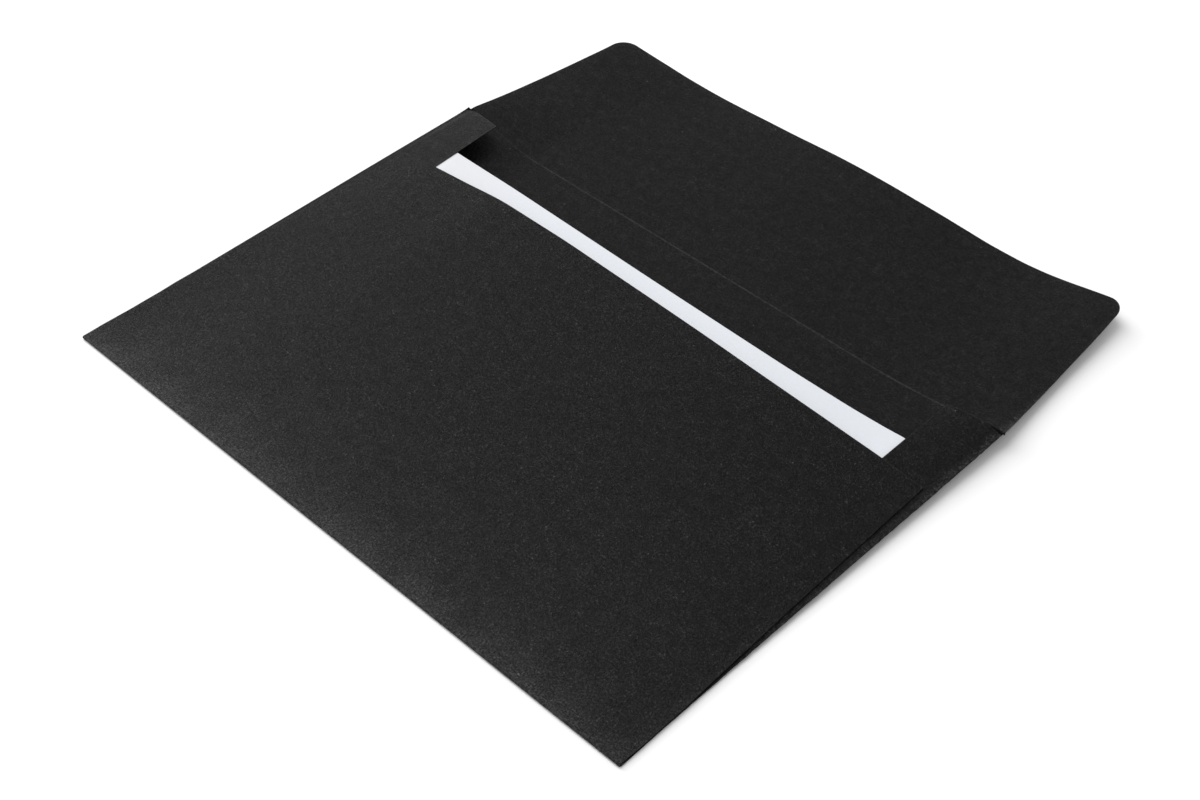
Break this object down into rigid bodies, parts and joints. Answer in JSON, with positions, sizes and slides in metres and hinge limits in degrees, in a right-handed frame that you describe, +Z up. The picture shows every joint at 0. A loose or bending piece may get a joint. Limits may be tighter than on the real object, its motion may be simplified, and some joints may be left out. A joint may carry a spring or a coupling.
{
  "type": "wallet-flap envelope",
  "caption": "Open wallet-flap paper envelope lying on its back, front panel glued over folded-in side flaps, closure flap that folds over the mouth, and a plain card in the pocket.",
  "frame": {"origin": "middle of the footprint, on the plane that the back panel lies on", "axes": "+Z up, away from the table; +Y from the bottom fold towards the open closure flap; +X along the crease, to the right when looking along +Y"},
  "size_m": [0.162, 0.167, 0.0081],
  "materials": {
    "black_paper": "black uncoated fibrous paper, matt, with fine pale fibres",
    "black_paper_fold": "the same paper, slightly worn and paler along the fold",
    "white_card": "smooth plain white card, matt",
    "seam_glue": "thin dried film of paper glue, hidden in the seam"
  },
  "bodies": {
    "pocket": {"back_panel": "black_paper", "bottom_fold": "black_paper_fold", "left_side_fold": "black_paper_fold", "right_side_fold": "black_paper_fold", "left_side_flap": "black_paper", "right_side_flap": "black_paper", "left_seam_glue": "seam_glue", "right_seam_glue": "seam_glue", "front_panel": "black_paper", "flap_crease": "black_paper_fold"},
    "flap": {"closure_flap": "black_paper"},
    "card": {"insert_card": "white_card"}
  },
  "joints": [
    {"name": "flap_fold", "type": "hinge", "parent": "pocket", "child": "flap", "pos_m": [0, 0.03135, 0.0002], "axis": [1, 0, 0], "range_deg": [0, 160]},
    {"name": "card_slide", "type": "slide", "parent": "pocket", "child": "card", "axis": [0, 1, 0], "range_m": [0, 0.0134]}
  ]
}
